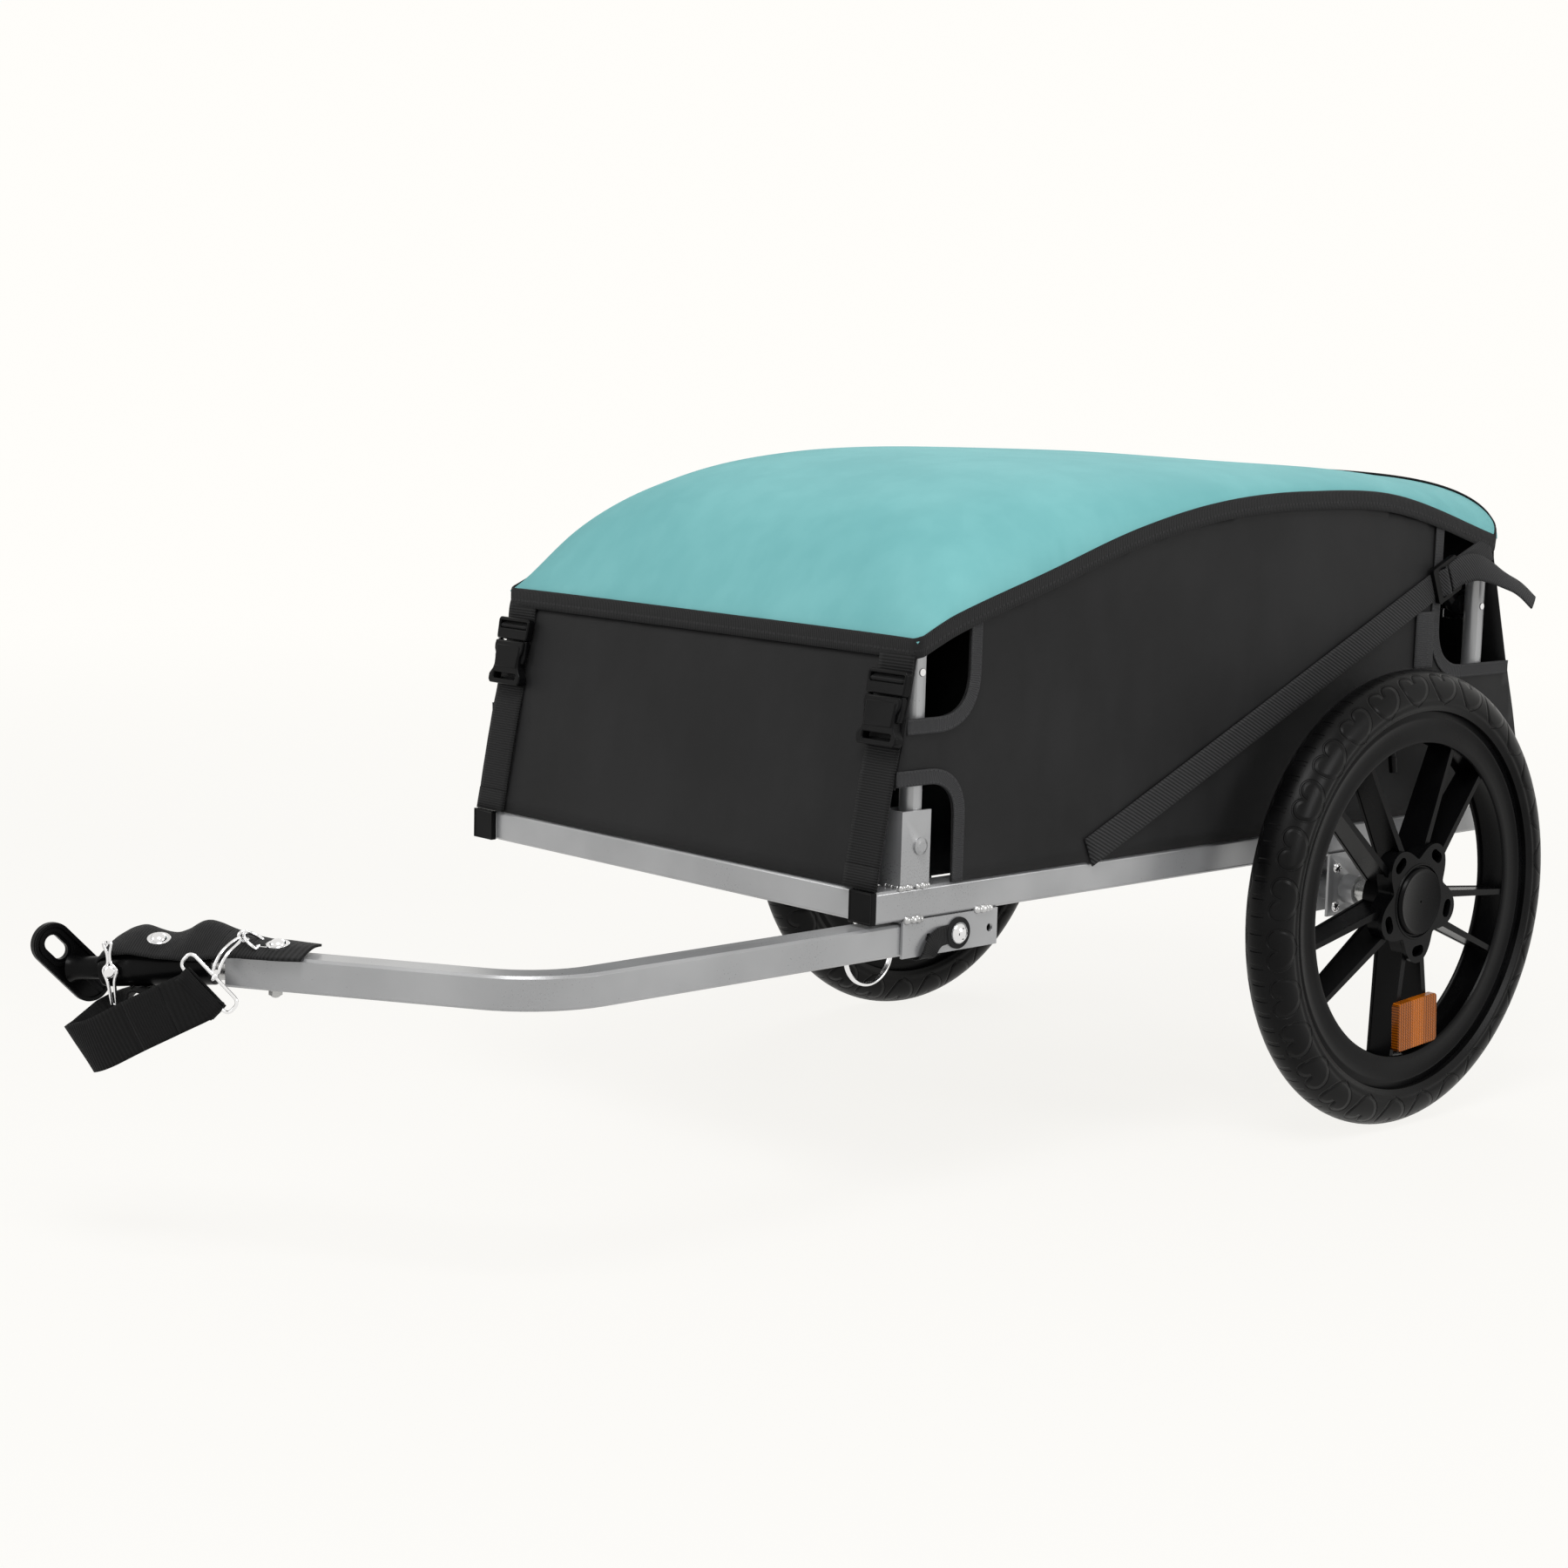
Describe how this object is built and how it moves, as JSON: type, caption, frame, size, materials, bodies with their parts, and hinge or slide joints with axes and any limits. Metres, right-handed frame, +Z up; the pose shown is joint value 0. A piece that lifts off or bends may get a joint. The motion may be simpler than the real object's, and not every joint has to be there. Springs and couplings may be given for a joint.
{
  "type": "bicycle cargo trailer",
  "caption": "Bicycle cargo trailer: square tube frame, spoked wheels, folding top frame, black fabric body with a bulging teal cover, side tow arm and axle hitch.",
  "frame": {"origin": "on the ground, under the centre of the trailer's bounding box", "axes": "+X to the trailer's left, where the tow arm is; -Y forward to the bicycle; +Z up; the wheels stand on z = 0"},
  "size_m": [0.651, 1.3807, 0.575],
  "materials": {
    "silver_paint": "smooth silver powder coat",
    "black_paint": "smooth black powder coat",
    "zinc_plate": "zinc plated sheet, dull",
    "bright_wire": "bright plated wire and pins",
    "black_plastic": "moulded, satin",
    "tyre_rubber": "matt rubber with a fine tread",
    "amber_reflector": "clear amber, ribbed behind the face",
    "black_cloth": "coated woven polyester, matt",
    "teal_cloth": "coated woven polyester, matt",
    "black_webbing": "woven webbing, ribbed edges"
  },
  "bodies": {
    "frame": {"left_rail": "silver_paint", "right_rail": "silver_paint", "front_rail": "silver_paint", "middle_rail": "silver_paint", "rear_rail": "silver_paint", "front_left_plug": "black_plastic", "front_right_plug": "black_plastic", "rear_left_plug": "black_plastic", "rear_right_plug": "black_plastic", "front_left_bracket": "zinc_plate", "front_right_bracket": "zinc_plate", "rear_left_bracket": "zinc_plate", "rear_right_bracket": "zinc_plate", "left_axle_bracket": "zinc_plate", "right_axle_bracket": "zinc_plate", "cargo_floor": "black_cloth", "left_panel": "black_cloth", "right_panel": "black_cloth", "front_panel": "black_cloth", "rear_panel": "black_cloth", "left_diagonal_strap": "black_webbing", "right_diagonal_strap": "black_webbing", "tow_receiver": "zinc_plate", "tow_tether": "black_webbing"},
    "front_left_upright": {"front_left_upright": "silver_paint"},
    "front_right_upright": {"front_right_upright": "silver_paint"},
    "rear_left_upright": {"rear_left_upright": "silver_paint"},
    "rear_right_upright": {"rear_right_upright": "silver_paint"},
    "top_frame": {"left_top_bar": "black_paint", "right_top_bar": "black_paint", "front_top_bar": "black_paint", "cover_bow": "black_paint"},
    "front_left_lock_pin": {"front_left_lock_pin": "bright_wire"},
    "front_right_lock_pin": {"front_right_lock_pin": "bright_wire"},
    "rear_left_lock_pin": {"rear_left_lock_pin": "bright_wire"},
    "rear_right_lock_pin": {"rear_right_lock_pin": "bright_wire"},
    "cover": {"cover": "teal_cloth"},
    "left_clip": {"left_buckle_clip": "black_plastic"},
    "right_clip": {"right_buckle_clip": "black_plastic"},
    "left_socket": {"left_buckle_socket": "black_plastic"},
    "right_socket": {"right_buckle_socket": "black_plastic"},
    "tow_arm": {"tow_arm": "silver_paint", "safety_strap": "black_webbing"},
    "tow_pin": {"tow_pin": "bright_wire"},
    "tow_ring": {"tow_ring": "bright_wire"},
    "coupling": {"coupling_spring": "zinc_plate"},
    "hitch": {"hitch_housing": "black_plastic", "hitch_coupler": "black_plastic", "loop_strap": "black_webbing"},
    "hitch_pin": {"hitch_pin": "bright_wire"},
    "d_ring": {"d_ring": "bright_wire", "snap_hook": "bright_wire"},
    "left_axle": {"left_axle": "zinc_plate"},
    "right_axle": {"right_axle": "zinc_plate"},
    "left_wheel": {"left_rim": "black_plastic", "left_tyre": "tyre_rubber", "left_reflector": "amber_reflector"},
    "right_wheel": {"right_rim": "black_plastic", "right_tyre": "tyre_rubber", "right_reflector": "amber_reflector"}
  },
  "joints": [
    {"name": "front_left_fold", "type": "hinge", "parent": "frame", "child": "front_left_upright", "pos_m": [0.234, -0.12425, 0.29], "axis": [-1, 0, 0], "range_deg": [0, 90], "deforming": ["left_panel", "right_panel", "front_panel", "rear_panel", "left_diagonal_strap", "right_diagonal_strap"]},
    {"name": "front_right_fold", "type": "hinge", "parent": "frame", "child": "front_right_upright", "pos_m": [-0.234, -0.12425, 0.29], "axis": [-1, 0, 0], "range_deg": [0, 90]},
    {"name": "rear_left_fold", "type": "hinge", "parent": "frame", "child": "rear_left_upright", "pos_m": [0.234, 0.60525, 0.31], "axis": [-1, 0, 0], "range_deg": [0, 90]},
    {"name": "rear_right_fold", "type": "hinge", "parent": "frame", "child": "rear_right_upright", "pos_m": [-0.234, 0.60525, 0.31], "axis": [-1, 0, 0], "range_deg": [0, 90]},
    {"name": "top_frame_level", "type": "hinge", "parent": "front_left_upright", "child": "top_frame", "pos_m": [0.234, -0.12425, 0.422], "axis": [-1, 0, 0], "range_deg": [-90, 0]},
    {"name": "cover_open", "type": "hinge", "parent": "top_frame", "child": "cover", "pos_m": [0, 0.61425, 0.505], "axis": [-1, 0, 0], "range_deg": [0, 100]},
    {"name": "left_clip_swing", "type": "hinge", "parent": "cover", "child": "left_clip", "pos_m": [0.228, -0.13605, 0.4385], "axis": [-1, 0, 0], "range_deg": [0, 90]},
    {"name": "left_socket_swing", "type": "hinge", "parent": "top_frame", "child": "left_socket", "pos_m": [0.228, -0.13605, 0.4385], "axis": [-1, 0, 0], "range_deg": [0, 90]},
    {"name": "right_clip_swing", "type": "hinge", "parent": "cover", "child": "right_clip", "pos_m": [-0.228, -0.13605, 0.4385], "axis": [-1, 0, 0], "range_deg": [0, 90]},
    {"name": "right_socket_swing", "type": "hinge", "parent": "top_frame", "child": "right_socket", "pos_m": [-0.228, -0.13605, 0.4385], "axis": [-1, 0, 0], "range_deg": [0, 90]},
    {"name": "front_left_pin_pull", "type": "slide", "parent": "top_frame", "child": "front_left_lock_pin", "axis": [-1, 0, 0], "range_m": [0, 0.046]},
    {"name": "front_right_pin_pull", "type": "slide", "parent": "top_frame", "child": "front_right_lock_pin", "axis": [1, 0, 0], "range_m": [0, 0.046]},
    {"name": "rear_left_pin_pull", "type": "slide", "parent": "top_frame", "child": "rear_left_lock_pin", "axis": [-1, 0, 0], "range_m": [0, 0.046]},
    {"name": "rear_right_pin_pull", "type": "slide", "parent": "top_frame", "child": "rear_right_lock_pin", "axis": [1, 0, 0], "range_m": [0, 0.046]},
    {"name": "tow_arm_fold", "type": "hinge", "parent": "frame", "child": "tow_arm", "pos_m": [0.2307, -0.07975, 0.218], "axis": [1, 0, 0], "range_deg": [0, 180], "deforming": ["loop_strap", "tow_tether"]},
    {"name": "tow_pin_push", "type": "slide", "parent": "frame", "child": "tow_pin", "axis": [1, 0, 0], "range_m": [0, 0.029], "deforming": ["tow_tether"]},
    {"name": "tow_ring_swing", "type": "hinge", "parent": "tow_pin", "child": "tow_ring", "pos_m": [0.1814, -0.11175, 0.218], "axis": [0, 1, 0], "range_deg": [-60, 60], "deforming": ["tow_tether"]},
    {"name": "coupling_yaw", "type": "hinge", "parent": "tow_arm", "child": "coupling", "pos_m": [0.02499, -0.59731, 0.218], "axis": [0, 0, 1], "range_deg": [-20, 20], "stiffness_Nm_per_rad": 60, "deforming": ["coupling_spring", "safety_strap", "loop_strap"]},
    {"name": "coupling_pitch", "type": "hinge", "parent": "coupling", "child": "hitch", "pos_m": [0.02499, -0.59731, 0.218], "axis": [-0.521, 0.8536, 0], "range_deg": [-20, 20], "stiffness_Nm_per_rad": 60, "deforming": ["coupling_spring", "safety_strap", "loop_strap"]},
    {"name": "hitch_pin_pull", "type": "slide", "parent": "hitch", "child": "hitch_pin", "axis": [0.521, -0.8536, 0], "range_m": [0, 0.032]},
    {"name": "d_ring_lift", "type": "hinge", "parent": "tow_arm", "child": "d_ring", "pos_m": [0.04889, -0.58273, 0.2344], "axis": [-0.521, 0.8536, 0], "range_deg": [0, 40], "deforming": ["loop_strap"]},
    {"name": "left_axle_release", "type": "slide", "parent": "frame", "child": "left_axle", "axis": [1, 0, 0], "range_m": [0, 0.1]},
    {"name": "right_axle_release", "type": "slide", "parent": "frame", "child": "right_axle", "axis": [-1, 0, 0], "range_m": [0, 0.1]},
    {"name": "left_wheel_spin", "type": "hinge", "parent": "left_axle", "child": "left_wheel", "pos_m": [0.302, 0.41825, 0.2], "axis": [1, 0, 0], "continuous": true},
    {"name": "right_wheel_spin", "type": "hinge", "parent": "right_axle", "child": "right_wheel", "pos_m": [-0.302, 0.41825, 0.2], "axis": [1, 0, 0], "continuous": true}
  ],
  "couplings": [
    {"joint": "front_right_fold", "follows": "front_left_fold", "ratio": 1},
    {"joint": "rear_left_fold", "follows": "front_left_fold", "ratio": 1},
    {"joint": "rear_right_fold", "follows": "front_left_fold", "ratio": 1},
    {"joint": "top_frame_level", "follows": "front_left_fold", "ratio": -1},
    {"joint": "left_clip_swing", "follows": "front_left_fold", "ratio": 1},
    {"joint": "left_socket_swing", "follows": "front_left_fold", "ratio": 1},
    {"joint": "right_clip_swing", "follows": "front_left_fold", "ratio": 1},
    {"joint": "right_socket_swing", "follows": "front_left_fold", "ratio": 1}
  ]
}
